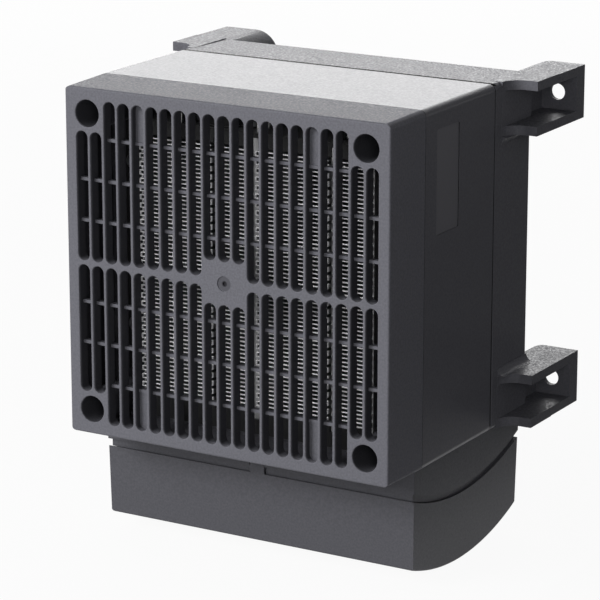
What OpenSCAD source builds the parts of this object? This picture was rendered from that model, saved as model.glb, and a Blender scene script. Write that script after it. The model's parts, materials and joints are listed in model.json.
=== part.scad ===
// Compact fan heater for a control cabinet.
// Front faces -Y, +X is to the right, +Z is up.
// The origin is the centre of the four foot holes, on the plane that the feet are screwed to.

/* [Body] */
// Width of the three shells
body_w = 138; // [134:1:160]
// Height of the three shells
body_h = 134; // [132:1:160]
// Depth of the front cover
front_depth = 24.5; // [22:0.5:34]
// Depth of the middle housing
middle_depth = 54; // [50:1:80]
// Depth of the rear housing
rear_depth = 30.5; // [24:0.5:40]
// Thickness of the shell walls
wall = 3; // [2.4:0.2:3.6]
// Radius of the long edges
corner_r = 2.5; // [1:0.5:5]
// Radius of the edges round the front face and the back
edge_r = 0.8; // [0.4:0.2:1.6]
// Mould draft of the front cover at its face
front_draft = 0.5; // [0:0.1:0.8]
// Mould draft of the rear housing at its back
rear_draft = 0.4; // [0:0.1:0.8]
// Width of the shadow groove at the front seam
front_seam_gap = 0.3; // [0.2:0.1:1.2]
// Width of the shadow groove at the rear seam
seam_gap = 0.6; // [0.3:0.1:1.2]

/* [Grille] */
// Number of slots across the face, odd
slot_count = 21; // [17:2:21]
// Solid rim between the outer slots and the body sides
grille_side_margin = 5.2; // [4:0.1:8]
// Width of a slot
slot_w = 5; // [4:0.1:5.2]
// Solid rim between the slot ends and the body edge
grille_margin = 5; // [4:0.5:8]
// Depth of the upright ribs
rib_depth = 5; // [4:0.5:7]
// Distance from the last cross bar to the slot ends
bar_end_gap = 14.9; // [8:0.1:18]
// Height of a cross bar
bar_h = 1.2; // [1:0.1:2]
// How far the cross bars lie behind the face
bar_setback = 2.6; // [1:0.2:3]
// How far the floors of the closed slot ends lie behind the face
blind_setback = 3; // [1:0.2:3.4]
// Thickness of the middle rail beside the centre panel
rail_mid = 3.2; // [2:0.2:5]
// Thickness of the middle rail at the sides
rail_side = 1.6; // [1:0.2:3]
// Height of the centre panel
hub_panel_h = 16.2; // [12:0.2:24]

/* [Screw wells] */
// Diameter of the corner wells
well_d = 10.3; // [9:0.1:11]
// Distance of the wells from the body edges
well_inset = 10.2; // [9.6:0.1:12]
// Thickness of the well tubes
well_wall = 1.5; // [1:0.1:1.8]
// Diameter of the housing screws
housing_screw_d = 4; // [3:0.5:5]

/* [Feet] */
// How far the feet stand out beyond the body sides
foot_out = 11; // [10:0.5:20]
// Height of one foot
foot_h = 20.7; // [18:0.1:26]
// Space between the body and the wall
foot_standoff = 23; // [16:0.5:32]
// How far the open front of a foot reaches forward of the wall
foot_reach = 40.5; // [34:0.5:46]
// Thickness of the foot's top and bottom plates
foot_plate = 3.6; // [2.4:0.2:5]
// Thickness of the plate that lies on the wall
foot_back = 7; // [4:0.5:10]
// Diameter of the foot holes
foot_hole_d = 6.3; // [4:0.1:7]
// Distance of the foot holes from the ends of the feet
foot_hole_inset = 8; // [6:0.5:10]
// Fillet between a foot and the body side
foot_fillet = 7; // [4:0.5:8]

/* [Terminal box and cover] */
// How far the terminal box is set in from the body sides
base_inset = 2; // [1:0.5:10]
// How far the terminal box reaches ahead of the front seam
base_front = 2.1; // [0:0.1:4]
// How far the terminal box sits ahead of the body's back
base_back = 2; // [0:0.5:6]
// Radius of the curved underside
base_arc_r = 114; // [90:1:160]
// Height of the neck at its lowest point
neck_h = 16.1; // [14.5:0.1:20]
// Height of the groove above the cover
groove_h = 2.6; // [1.4:0.1:4]
// Depth of the groove
groove_d = 1.2; // [0.6:0.1:2]
// Height of the cover at its lowest point
cover_h = 26.6; // [25:0.1:34]
// Wall of the cover
cover_wall = 2.5; // [2:0.1:3]
// Draft of the cover at its front and back
cover_draft_y = 1.1; // [0:0.1:2]
// Draft of the cover at its sides
cover_draft_x = 0.65; // [0:0.05:1]
// Width of the spring tongue
tongue_w = 6; // [4:0.5:12]
// Diameter of the lead that the inlet takes
lead_d = 8; // [6:0.5:9]

/* [Heater] */
// Distance from the face to the fins
heater_setback = 17; // [14:0.5:20]
// Depth of the heating elements
element_depth = 20; // [14:0.5:24]
// Room to the left of the fin packs
heater_left_room = 18.15; // [16:0.05:24]
// Room to the right of the fin packs
heater_right_room = 14.55; // [14.5:0.05:24]
// Room above the fin packs
heater_top_room = 17.4; // [16.4:0.1:30]
// Room below the fin packs
heater_bottom_room = 12; // [11.5:0.5:20]
// Distance between two legs of a fin strip
fin_pitch = 1.58; // [1.1:0.01:3]
// Sheet thickness of a fin strip
fin_t = 0.25; // [0.15:0.05:0.5]
// Width of an element tube
tube_w = 2.6; // [2.4:0.1:4]
// How far the tubes and the plates lie behind the front of the fins
tube_setback = 2.5; // [0:0.5:4]

/* [Fan] */
// Gap between the fan frame and the housing walls
fan_clearance = 4.5; // [3:0.1:8]
// Depth of the fan frame
fan_depth = 38; // [32:1:42]
// Distance of the fan's screw holes from its edges
fan_hole_inset = 7.1; // [6:0.1:8.5]
// Diameter of the impeller hub
hub_d = 60; // [50:1:66]
// Gap between the blade tips and the frame
tip_gap = 2; // [1:0.1:3]
// Number of blades
blade_count = 7; // [5:1:9]

/* [Hidden] */
$fn = 64;

black = [0.13, 0.13, 0.14];
graphite = [0.2, 0.2, 0.21];
alu = [0.78, 0.79, 0.8];
steel = [0.6, 0.6, 0.62];
brass = [0.78, 0.64, 0.34];
ivory = [0.86, 0.85, 0.8];
copper = [0.66, 0.38, 0.24];
rubber = [0.08, 0.08, 0.08];

// Gap between pieces that slide or nest
fit = 0.15;
// Gap between a screw and the hole that holds it
thread_fit = 0.05;
// Extra length that carries a cut past a face
over = 1;

// Depth stations, from the wall forward
y_back = -foot_standoff;
y_rear = y_back - rear_depth;
y_seam = y_rear - middle_depth;
y_face = y_seam - front_depth;
half_w = body_w / 2;
half_h = body_h / 2;
in_w = body_w - 2 * wall;
in_h = body_h - 2 * wall;
inner_r = 1;
lip_t = 1.2;
lip_reach = 2.5;
lip_root = 3;

// Extrusions along the three axes, each with its outline given in the other two
module along_y(y0, y1) {
    translate([0, y1, 0]) rotate([90, 0, 0]) linear_extrude(y1 - y0) children();
}
module along_x(x0, x1) {
    translate([x0, 0, 0]) rotate([90, 0, 90]) linear_extrude(x1 - x0) children();
}
module along_z(z0, z1) {
    translate([0, 0, z0]) linear_extrude(z1 - z0) children();
}
module rounded_rect(w, h, r) {
    square([w - 2 * r, h], center = true);
    square([w, h - 2 * r], center = true);
    for (sx = [-1, 1], sz = [-1, 1]) translate([sx * (w / 2 - r), sz * (h / 2 - r)]) circle(r);
}
module four_corners(x, z) {
    for (sx = [-1, 1], sz = [-1, 1]) translate([sx * x, 0, sz * z]) children();
}
module box(x0, x1, y0, y1, z0, z1) {
    translate([x0, y0, z0]) cube([x1 - x0, y1 - y0, z1 - z0]);
}

// Pan head screw whose head's seat is at the origin, with the shank along +Y
module pan_screw(d, length) {
    head_d = 2 * d;
    head_h = 0.65 * d;
    slot = 0.28 * d;
    difference() {
        union() {
            along_y(0, length) circle(d = d);
            along_y(-head_h, 0) circle(d = head_d);
        }
        for (turn = [0, 90]) {
            along_y(-head_h - over, -head_h / 2) rotate(turn) square([1.2 * d, slot], center = true);
        }
    }
}
module screw_up(d, length) {
    rotate([90, 0, 0]) pan_screw(d, length);
}
module screw_down(d, length) {
    rotate([-90, 0, 0]) pan_screw(d, length);
}

// Outline of a drafted shell end with rounded edges, from the seam at y0 to the end at y1
function arc_points(c, r, a0, a1, n = 4) =
    [for (i = [0:n]) c + r * [cos(a0 + (a1 - a0) * i / n), sin(a0 + (a1 - a0) * i / n)]];
function end_outline(half, y0, y1, draft, r) =
    let (way = sign(y1 - y0), cx = half - draft - r, cy = y1 - way * r)
    concat([[-half, y0], [half, y0]],
           arc_points([cx, cy], r, 0, way * 90),
           arc_points([-cx, cy], r, way * 90, way * 180));
function swapped(points) = [for (p = points) [p[1], p[0]]];
module drafted_shell(y0, y1, draft) {
    intersection() {
        along_y(min(y0, y1), max(y0, y1)) rounded_rect(body_w, body_h, corner_r);
        along_z(-body_h, body_h) polygon(end_outline(half_w, y0, y1, draft, edge_r));
        along_x(-body_w, body_w) polygon(swapped(end_outline(half_h, y0, y1, draft, edge_r)));
    }
}

// Front cover with the grille
slot_half = (slot_count - 1) / 2;
slot_pitch = (body_w - 2 * grille_side_margin - slot_w) / (slot_count - 1);
hub_columns = 1;
blind_column = 6;
bar_rows = 3;
bar_pitch = (half_h - grille_margin - bar_end_gap) / bar_rows;
rail_taper = 6;
well_x = half_w - well_inset;
well_z = half_h - well_inset;
well_r = well_d / 2;
well_outer = well_r + well_wall;
well_rim = 1.6;
well_floor = 3;
gate_d = 5.8;
gate_depth = 0.35;
gate_pit_d = 1.4;
gate_pit_depth = 0.9;
screw_play = 0.5;

function beside_well(i) = abs(i) * slot_pitch + slot_w / 2 > well_x - well_r - well_rim + 0.2;
function slot_end(i) = beside_well(i) ? well_z - well_r - well_rim : half_h - grille_margin;
function rail_half(i) =
    (rail_side + (rail_mid - rail_side) * max(0, 1 - (abs(i) - hub_columns - 1) / rail_taper)) / 2;
function slot_start(i) = abs(i) <= hub_columns ? hub_panel_h / 2 : rail_half(i);
long_columns = [for (i = [0:slot_half]) if (!beside_well(i)) i];
long_reach = max(long_columns) * slot_pitch + slot_w / 2 + 0.3;
full_reach = slot_half * slot_pitch + slot_w / 2 + 0.3;

module slot_outline(x, z0, z1) {
    r = slot_w / 2;
    translate([x - r, z0 + r]) square([slot_w, z1 - z0 - slot_w]);
    translate([x, z0 + r]) circle(r);
    translate([x, z1 - r]) circle(r);
}
module grille_slots() {
    for (i = [-slot_half:slot_half]) {
        slot_outline(i * slot_pitch, slot_start(i), slot_end(i));
        slot_outline(i * slot_pitch, -slot_end(i), -slot_start(i));
    }
}
module cross_bars() {
    for (row = [1:bar_rows], side = [-1, 1]) {
        z = side * row * bar_pitch;
        clear = row * bar_pitch + bar_h / 2 < slot_end(slot_half) - slot_w / 2;
        reach = clear ? full_reach : long_reach;
        box(-reach, reach, y_face + bar_setback, y_face + rib_depth, z - bar_h / 2, z + bar_h / 2);
    }
}
module blind_floors() {
    z0 = bar_rows * bar_pitch;
    z1 = half_h - grille_margin + 0.3;
    r = slot_w / 2 + 0.3;
    for (sx = [-1, 1], sz = [-1, 1]) {
        x = sx * blind_column * slot_pitch;
        box(x - r, x + r, y_face + blind_setback, y_face + rib_depth,
            min(sz * z0, sz * z1), max(sz * z0, sz * z1));
    }
}
module front_grille() {
    color(black) {
        difference() {
            union() {
                difference() {
                    drafted_shell(y_seam, y_face, front_draft);
                    along_y(y_face + rib_depth, y_seam + over) rounded_rect(in_w, in_h, inner_r);
                }
                four_corners(well_x, well_z) along_y(y_face + rib_depth / 2, y_seam) circle(well_outer);
            }
            along_y(y_face - over, y_face + rib_depth + over) grille_slots();
            four_corners(well_x, well_z) {
                along_y(y_face - over, y_seam - well_floor) circle(well_r);
                along_y(y_seam - well_floor - over, y_seam + over)
                    circle(d = housing_screw_d + screw_play);
            }
            along_y(y_face - over, y_face + gate_depth) circle(d = gate_d);
            along_y(y_face - over, y_face + gate_pit_depth) circle(d = gate_pit_d);
        }
        cross_bars();
        blind_floors();
    }
}

// Screws at the bottom of the wells
boss_depth = 24;
boss_r = 4.5;
boss_web = 2;
housing_screw_grip = 16;
module housing_screws() {
    color(steel) four_corners(well_x, well_z) translate([0, y_seam - well_floor, 0])
        pan_screw(housing_screw_d, well_floor + housing_screw_grip);
}

// Stations of the heater and the fan
element_y0 = y_face + heater_setback;
element_y1 = element_y0 + element_depth;
tube_y0 = element_y0 + tube_setback;
tube_depth = element_y1 - tube_y0;
tube_mid_y = (tube_y0 + element_y1) / 2;
carrier_t = 2.5;
carrier_y1 = element_y1 + 1.5;
carrier_y0 = carrier_y1 - carrier_t;
seat_h = 8;
seat_w = 9;
seat_len = 9.5;
seat_inset = 32;
seat_z = in_h / 2 - seat_inset;
seat_x = in_w / 2 - seat_w / 2;
heater_screw_d = 3;
heater_screw_grip = 7;
fan_size = min(in_w, in_h) - 2 * fan_clearance;
fan_boss_h = 4;
fan_boss_r = 5;
fan_y1 = y_back - wall - fan_boss_h;
fan_y0 = fan_y1 - fan_depth;
shroud_t = 2.5;
shroud_y0 = fan_y0 - shroud_t;
shroud_rim = 4.5;
shroud_d = fan_size - 2 * shroud_rim;
fan_screw_d = 3.8;
fan_hole = fan_size / 2 - fan_hole_inset;

// Screws and wire holes between the body and the terminal box
box_screw_d = 3.5;
box_screw_inset = 17;
box_screw_x = half_w - base_inset - box_screw_inset;
box_boss_h = 3;
box_boss_r = 4;
box_screw_ahead = 31;
box_screw_behind = 13;
box_screw_front_y = y_rear - box_screw_ahead;
box_screw_rear_y = y_rear + box_screw_behind;
wire_hole_d = 9;
wire_hole_x = 14;
wire_hole_ahead = 40;
wire_hole_y = y_rear - wire_hole_ahead;
block_screw_d = 3;
poles = 5;
pole_pitch = 10;
block_x = 6;
block_ahead = 17;
block_y = y_rear - block_ahead;
block_depth = 20;
block_h = 15;
lug_w = 7;
lug_h = 4;
lug_depth = 10;
block_half = poles * pole_pitch / 2 + 1;
block_screw_x = block_half + lug_w / 2;

module lip_ring(y_mouth, way) {
    tip = y_mouth + way * lip_reach;
    root = y_mouth - way * lip_root;
    difference() {
        union() {
            along_y(min(y_mouth, tip), max(y_mouth, tip))
                rounded_rect(in_w - 2 * fit, in_h - 2 * fit, inner_r);
            along_y(min(y_mouth, root), max(y_mouth, root))
                rounded_rect(in_w + over, in_h + over, inner_r);
        }
        along_y(min(tip, root) - over, max(tip, root) + over)
            rounded_rect(in_w - 2 * fit - 2 * lip_t, in_h - 2 * fit - 2 * lip_t, inner_r);
        four_corners(well_x, well_z) along_y(y_seam - lip_reach - over, y_seam) circle(well_outer + fit);
    }
}
module corner_bosses() {
    for (sx = [-1, 1], sz = [-1, 1]) {
        translate([sx * well_x, 0, sz * well_z]) along_y(y_seam, y_seam + boss_depth) circle(boss_r);
        box(min(sx * well_x, sx * (half_w - wall / 2)), max(sx * well_x, sx * (half_w - wall / 2)),
            y_seam, y_seam + boss_depth, sz * well_z - boss_web / 2, sz * well_z + boss_web / 2);
        box(sx * well_x - boss_web / 2, sx * well_x + boss_web / 2, y_seam, y_seam + boss_depth,
            min(sz * well_z, sz * (half_h - wall / 2)), max(sz * well_z, sz * (half_h - wall / 2)));
    }
}
module heater_seats() {
    for (sx = [-1, 1], sz = [-1, 1]) {
        x0 = sx * (in_w / 2 - seat_w);
        x1 = sx * (half_w - wall / 2);
        box(min(x0, x1), max(x0, x1), carrier_y1, carrier_y1 + seat_len,
            sz * seat_z - seat_h / 2, sz * seat_z + seat_h / 2);
    }
}
module box_bosses(y) {
    for (sx = [-1, 1]) translate([sx * box_screw_x, y, -half_h + wall / 2])
        cylinder(r = box_boss_r, h = wall / 2 + box_boss_h);
}
module box_screw_holes(y) {
    for (sx = [-1, 1]) translate([sx * box_screw_x, y, -half_h - over])
        cylinder(d = box_screw_d + 2 * thread_fit, h = wall + box_boss_h + 2 * over);
}

// Middle housing
plate_w = 17.2;
plate_h = 39;
plate_depth = 0.4;
plate_from_seam = 17.5;
plate_from_top = 28;
plate_y = y_seam + plate_from_seam;
plate_z = half_h - plate_from_top;
seam_groove = 0.8;
module seam_cut(y0, y1) {
    along_y(y0, y1) difference() {
        square([body_w + 2 * over, body_h + 2 * over], center = true);
        rounded_rect(body_w - 2 * seam_groove, body_h - 2 * seam_groove, corner_r);
    }
}
module middle_housing() {
    color(black) difference() {
        union() {
            difference() {
                along_y(y_seam, y_rear) rounded_rect(body_w, body_h, corner_r);
                along_y(y_seam - over, y_rear + over) rounded_rect(in_w, in_h, inner_r);
                seam_cut(y_seam - over, y_seam + front_seam_gap);
            }
            along_y(shroud_y0, fan_y0) square([in_w + wall, in_h + wall], center = true);
            lip_ring(y_seam, -1);
            lip_ring(y_rear, 1);
            corner_bosses();
            heater_seats();
            box_bosses(box_screw_front_y);
        }
        along_y(shroud_y0 - over, fan_y0 + over) {
            circle(d = shroud_d);
            for (sx = [-1, 1], sz = [-1, 1]) translate([sx * fan_hole, sz * fan_hole])
                circle(d = fan_screw_d + screw_play);
        }
        four_corners(well_x, well_z) along_y(y_seam - over, y_seam + boss_depth - 3)
            circle(d = housing_screw_d + 2 * thread_fit);
        four_corners(seat_x, seat_z) along_y(carrier_y1 - over, carrier_y1 + seat_len - over)
            circle(d = heater_screw_d + 2 * thread_fit);
        box_screw_holes(box_screw_front_y);
        for (sx = [-1, 1]) {
            translate([sx * wire_hole_x, wire_hole_y, -half_h - over])
                cylinder(d = wire_hole_d, h = wall + 2 * over);
            translate([block_x + sx * block_screw_x, block_y, -half_h - over])
                cylinder(d = block_screw_d + 2 * thread_fit, h = wall + 2 * over);
        }
        along_x(half_w - plate_depth, half_w + over) translate([plate_y, plate_z])
            rounded_rect(plate_w, plate_h, inner_r);
    }
}

// Rear housing with the inlet guard and the feet
guard_rim = 3.5;
guard_r = fan_size / 2 - guard_rim;
guard_hub_r = 12;
guard_ring_t = 1.6;
guard_rings = 5;
guard_pitch = (guard_r - guard_hub_r) / (guard_rings + 1);
guard_spoke_t = 2.6;
foot_x = half_w + foot_out;
foot_hole_x = foot_x - foot_hole_inset;
foot_z = half_h - foot_h / 2;
foot_round = foot_h / 2;
foot_inner_x = half_w - 3;
foot_pocket_x = half_w - 3.5;
foot_step = 0.2;
side_fillet = 3;

module inlet_guard() {
    for (k = [1:guard_rings]) {
        r = guard_hub_r + k * guard_pitch;
        difference() {
            circle(r + guard_ring_t / 2);
            circle(r - guard_ring_t / 2);
        }
    }
    circle(guard_hub_r);
    for (turn = [0, 90]) rotate(turn) square([2 * guard_r + 2, guard_spoke_t], center = true);
}
// Plan of a foot plate: square to the wall, with a hollow fillet to the body side
module foot_plan() {
    translate([half_w - wall, -foot_reach]) square([foot_x - half_w + wall, foot_reach]);
    difference() {
        translate([half_w - wall, -foot_reach - foot_fillet]) square([wall + foot_fillet, foot_fillet]);
        translate([half_w + foot_fillet, -foot_reach - foot_fillet]) circle(foot_fillet);
    }
}
// Upper right foot
module foot() {
    z1 = half_h;
    z0 = half_h - foot_h;
    difference() {
        union() {
            intersection() {
                along_z(z0, z1) foot_plan();
                box(0, foot_x, -body_w, y_back, z0 - over, z1 + over);
            }
            along_y(y_back - wall, 0) {
                translate([foot_inner_x, foot_z - foot_h / 2])
                    square([foot_x - foot_inner_x, foot_h - foot_step]);
                translate([foot_inner_x, foot_z - foot_step / 2]) circle(d = foot_h - foot_step);
            }
            along_y(-foot_reach - foot_fillet, y_back) difference() {
                translate([half_w - wall, z0 - side_fillet]) square([wall + side_fillet, side_fillet]);
                translate([half_w + side_fillet, z0 - side_fillet]) circle(side_fillet);
            }
        }
        box(half_w, foot_x + over, -foot_reach - foot_fillet - over, y_back + over,
            z0 + foot_plate, z1 - foot_plate);
        box(foot_pocket_x, foot_x + over, y_back, -foot_back, z0 + foot_plate, z1 - foot_plate);
        translate([foot_hole_x, 0, foot_z]) along_y(-foot_back - over, over) circle(d = foot_hole_d);
    }
}
module rear_housing() {
    color(black) {
        difference() {
            union() {
                difference() {
                    drafted_shell(y_rear, y_back, rear_draft);
                    along_y(y_rear - over, y_back - wall) rounded_rect(in_w, in_h, inner_r);
                    seam_cut(y_rear - over, y_rear + seam_gap);
                }
                four_corners(fan_hole, fan_hole) along_y(fan_y1, y_back - wall / 2) circle(fan_boss_r);
                box_bosses(box_screw_rear_y);
            }
            along_y(y_back - wall - over, y_back + over) difference() {
                circle(guard_r);
                inlet_guard();
            }
            four_corners(fan_hole, fan_hole) along_y(fan_y1 - over, y_back - over)
                circle(d = fan_screw_d + 2 * thread_fit);
            box_screw_holes(box_screw_rear_y);
        }
        for (mx = [0, 1], mz = [0, 1]) mirror([mx, 0, 0]) mirror([0, 0, mz]) foot();
    }
}

// Terminal box below the body
base_half = half_w - base_inset;
base_w = 2 * base_half;
base_y1 = y_back - base_back;
base_y0 = y_seam - base_front;
base_depth = base_y1 - base_y0;
base_arc_shift = 2.2;
base_mid_y = (base_y0 + base_y1) / 2 - base_arc_shift;
base_top_t = 2.5;
base_lip_inset = cover_wall + cover_draft_x + fit;
base_lip_t = 1.8;
base_lip_h = 3;
base_cavity_inset = base_lip_inset + base_lip_t;
cover_gap = 0.2;
tongue_t = cover_wall;
tongue_top = -half_h - 4;
tongue_play = 0.3;

module base_arc(drop, r = base_arc_r) {
    translate([base_mid_y, -half_h - drop + base_arc_r]) circle(r);
}
module base_side(inset, drop) {
    intersection() {
        translate([base_y0 + inset, -2 * body_h]) square([base_depth - 2 * inset, 2 * body_h - half_h]);
        base_arc(drop);
    }
}
module terminal_box() {
    color(black) difference() {
        union() {
            along_x(-base_half, base_half) base_side(0, neck_h);
            along_x(-base_half + groove_d, base_half - groove_d) base_side(groove_d, neck_h + groove_h);
            along_x(-base_half + base_lip_inset, base_half - base_lip_inset)
                base_side(base_lip_inset + cover_draft_y, neck_h + groove_h + base_lip_h);
        }
        box(-base_half + base_cavity_inset, base_half - base_cavity_inset,
            base_y0 + base_cavity_inset + cover_draft_y, base_y1 - base_cavity_inset - cover_draft_y,
            -2 * body_h, -half_h - base_top_t);
        box(-tongue_w / 2 - tongue_play, tongue_w / 2 + tongue_play, base_y0 - over,
            base_y0 + tongue_t + fit, -2 * body_h, tongue_top + tongue_play);
        for (sx = [-1, 1], y = [box_screw_front_y, box_screw_rear_y]) {
            translate([sx * box_screw_x, y, -half_h - base_top_t - over])
                cylinder(d = box_screw_d + screw_play, h = base_top_t + 2 * over);
        }
        for (sx = [-1, 1]) {
            translate([sx * wire_hole_x, wire_hole_y, -half_h - base_top_t - over])
                cylinder(d = wire_hole_d, h = base_top_t + 2 * over);
            translate([block_x + sx * block_screw_x, block_y, -half_h - base_top_t - over])
                cylinder(d = block_screw_d + screw_play, h = base_top_t + 2 * over);
        }
    }
}
module box_screws() {
    color(steel) for (sx = [-1, 1], y = [box_screw_front_y, box_screw_rear_y]) {
        translate([sx * box_screw_x, y, -half_h - base_top_t])
            screw_up(box_screw_d, base_top_t + wall + box_boss_h - 0.5);
    }
}

// Terminal cover
cover_top = neck_h + groove_h + cover_gap;
cover_low = cover_top + cover_h;
cover_z0 = -half_h - cover_low;
lead_y = base_mid_y;
grommet_r = lead_d / 2 + 2;
grommet_flange = 2.5;
grommet_flange_t = 1.5;
grommet_gap = 0.5;
lead_drop = base_lip_h + grommet_gap + grommet_r + grommet_flange;
lead_z = -half_h - cover_top - lead_drop;
saddle_inset = 20;
saddle_x = -base_half + saddle_inset;
saddle_w = 8;
saddle_reach = 5.2;
post_r = 3.5;
post_y = lead_d / 2 + 5;
strain_screw_d = 3;
strain_bar_h = lead_d / 2 + 1.6;
strain_post_hole = 8;

// Cover section along its depth, with its walls moved in by an inset
module cover_side(inset) {
    intersection() {
        polygon([[base_y0 + inset, -half_h], [base_y1 - inset, -half_h],
                 [base_y1 - cover_draft_y - inset, cover_z0], [base_y0 + cover_draft_y + inset, cover_z0]]);
        base_arc(cover_low, base_arc_r - inset);
    }
}
module cover_front(inset) {
    h = base_half - inset;
    low = h - cover_draft_x;
    polygon([[-h, -half_h], [h, -half_h], [low, cover_z0 - over], [-low, cover_z0 - over]]);
}
module cover_form(inset) {
    intersection() {
        along_x(-base_w, base_w) cover_side(inset);
        along_y(base_y0 - over, base_y1 + over) cover_front(inset);
    }
}
// Round way for the lead through the saddle and its bar
module lead_groove() {
    translate([saddle_x, lead_y, lead_z]) rotate([0, 90, 0])
        cylinder(d = lead_d, h = saddle_w + 2 * over, center = true);
}
module terminal_cover() {
    color(black) {
        difference() {
            cover_form(0);
            cover_form(cover_wall);
            along_x(-base_w, base_w) base_arc(cover_top);
            translate([-base_half, lead_y, lead_z]) rotate([0, 90, 0])
                cylinder(r = grommet_r + fit, h = 4 * cover_wall, center = true);
        }
        intersection() {
            box(-tongue_w / 2, tongue_w / 2, base_y0, base_y0 + tongue_t, -half_h - cover_top, tongue_top);
            cover_form(0);
        }
        difference() {
            intersection() {
                union() {
                    box(saddle_x - saddle_w / 2, saddle_x + saddle_w / 2,
                        lead_y - saddle_reach, lead_y + saddle_reach, cover_z0, lead_z);
                    for (sy = [-1, 1]) translate([saddle_x, lead_y + sy * post_y, cover_z0])
                        cylinder(r = post_r, h = lead_z - cover_z0);
                }
                cover_form(cover_wall / 2);
            }
            lead_groove();
            for (sy = [-1, 1]) translate([saddle_x, lead_y + sy * post_y, lead_z - strain_post_hole])
                cylinder(d = strain_screw_d + 2 * thread_fit, h = strain_post_hole + over);
        }
    }
}
module cable_grommet() {
    groove = cover_wall + 0.6;
    mid = -base_half + cover_wall / 2 + cover_draft_x * (lead_z + half_h) / (cover_z0 + half_h);
    color(rubber) translate([mid, lead_y, lead_z]) rotate([0, 90, 0]) difference() {
        union() {
            cylinder(r = grommet_r, h = groove + 2 * grommet_flange_t, center = true);
            for (side = [-1, 1]) translate([0, 0, side * (groove + grommet_flange_t) / 2])
                cylinder(r = grommet_r + grommet_flange, h = grommet_flange_t, center = true);
        }
        cylinder(d = lead_d, h = groove + 4 * grommet_flange_t, center = true);
    }
}
module strain_clamp() {
    reach = post_y + post_r + 0.5;
    color(graphite) difference() {
        box(saddle_x - saddle_w / 2, saddle_x + saddle_w / 2, lead_y - reach, lead_y + reach,
            lead_z, lead_z + strain_bar_h);
        lead_groove();
        for (sy = [-1, 1]) translate([saddle_x, lead_y + sy * post_y, lead_z - over])
            cylinder(d = strain_screw_d + screw_play, h = strain_bar_h + 2 * over);
    }
}
module strain_screws() {
    color(steel) for (sy = [-1, 1]) translate([saddle_x, lead_y + sy * post_y, lead_z + strain_bar_h])
        screw_down(strain_screw_d, strain_bar_h + strain_post_hole - 1);
}

// Supply terminals under the box's top plate
block_z1 = -half_h - base_top_t;
block_z0 = block_z1 - block_h;
pocket_w = 7;
pocket_d = 12;
pocket_h = 9;
clamp_h = 6;
clamp_gap = 0.2;
wire_d = 3.6;
terminal_screw_d = 3;
function pole_x(k) = block_x + (k - (poles - 1) / 2) * pole_pitch;
module terminal_block() {
    color(ivory) difference() {
        union() {
            box(block_x - block_half, block_x + block_half,
                block_y - block_depth / 2, block_y + block_depth / 2, block_z0, block_z1);
            box(block_x - block_half - lug_w, block_x + block_half + lug_w,
                block_y - lug_depth / 2, block_y + lug_depth / 2, block_z1 - lug_h, block_z1);
        }
        for (k = [0:poles - 1]) {
            box(pole_x(k) - pocket_w / 2, pole_x(k) + pocket_w / 2,
                block_y - pocket_d / 2, block_y + pocket_d / 2, block_z0 - over, block_z0 + pocket_h);
            translate([pole_x(k), 0, block_z0 + pocket_h - clamp_h / 2 - clamp_gap])
                along_y(block_y - block_depth, block_y + block_depth) circle(d = wire_d);
        }
        for (sx = [-1, 1]) translate([block_x + sx * block_screw_x, block_y, block_z1 - lug_h - over])
            cylinder(d = block_screw_d + screw_play, h = lug_h + 2 * over);
    }
}
module terminal_clamps() {
    color(brass) for (k = [0:poles - 1]) {
        z1 = block_z0 + pocket_h - clamp_gap;
        difference() {
            box(pole_x(k) - pocket_w / 2 + clamp_gap, pole_x(k) + pocket_w / 2 - clamp_gap,
                block_y - pocket_d / 2 + clamp_gap, block_y + pocket_d / 2 - clamp_gap, z1 - clamp_h, z1);
            translate([pole_x(k), 0, z1 - clamp_h / 2])
                along_y(block_y - block_depth, block_y + block_depth) circle(d = wire_d);
            translate([pole_x(k), block_y, z1 - clamp_h - over])
                cylinder(d = terminal_screw_d + 2 * thread_fit, h = clamp_h / 2);
        }
    }
}
module terminal_screws() {
    grip = 1.8;
    color(steel) for (k = [0:poles - 1])
        translate([pole_x(k), block_y, block_z0 + pocket_h - clamp_gap - clamp_h])
            screw_up(terminal_screw_d, grip);
}
module block_screws() {
    color(steel) for (sx = [-1, 1]) translate([block_x + sx * block_screw_x, block_y, block_z1 - lug_h])
        screw_up(block_screw_d, lug_h + base_top_t + wall - 0.5);
}

// Heating elements: a flat tube with ceramics, and on each side a corrugated fin strip and its plate
elements = 3;
plate_t = 0.6;
nest = 0.05;
tube_wall = 0.5;
tube_over = 4;
plate_over = 2.5;
stones = 4;
stone_gap = 1;
element_gap = 0.6;
fin_z0 = -in_h / 2 + heater_bottom_room;
fin_z1 = in_h / 2 - heater_top_room;
fin_h = fin_z1 - fin_z0;
pack_half = (in_w - heater_left_room - heater_right_room) / 2;
heater_dx = (heater_left_room - heater_right_room) / 2;
element_pitch = (2 * pack_half + element_gap) / elements;
element_half = (element_pitch - element_gap) / 2;
fin_w = element_half - tube_w / 2 - plate_t - 2 * nest;
channel_h = 5.5;
channel_gap = 0.5;
channel_margin = 0.8;
channel_low = fin_z0 - channel_gap;
channel_high = fin_z1 + channel_gap;
channel_y0 = element_y0 + 2;
skirt_z = -in_h / 2 + lip_t + 6 * fit;
carrier_corner = well_inset + 6;
pocket_play = 0.2;
function element_x(k) = heater_dx + (k - (elements - 1) / 2) * element_pitch;

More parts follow.
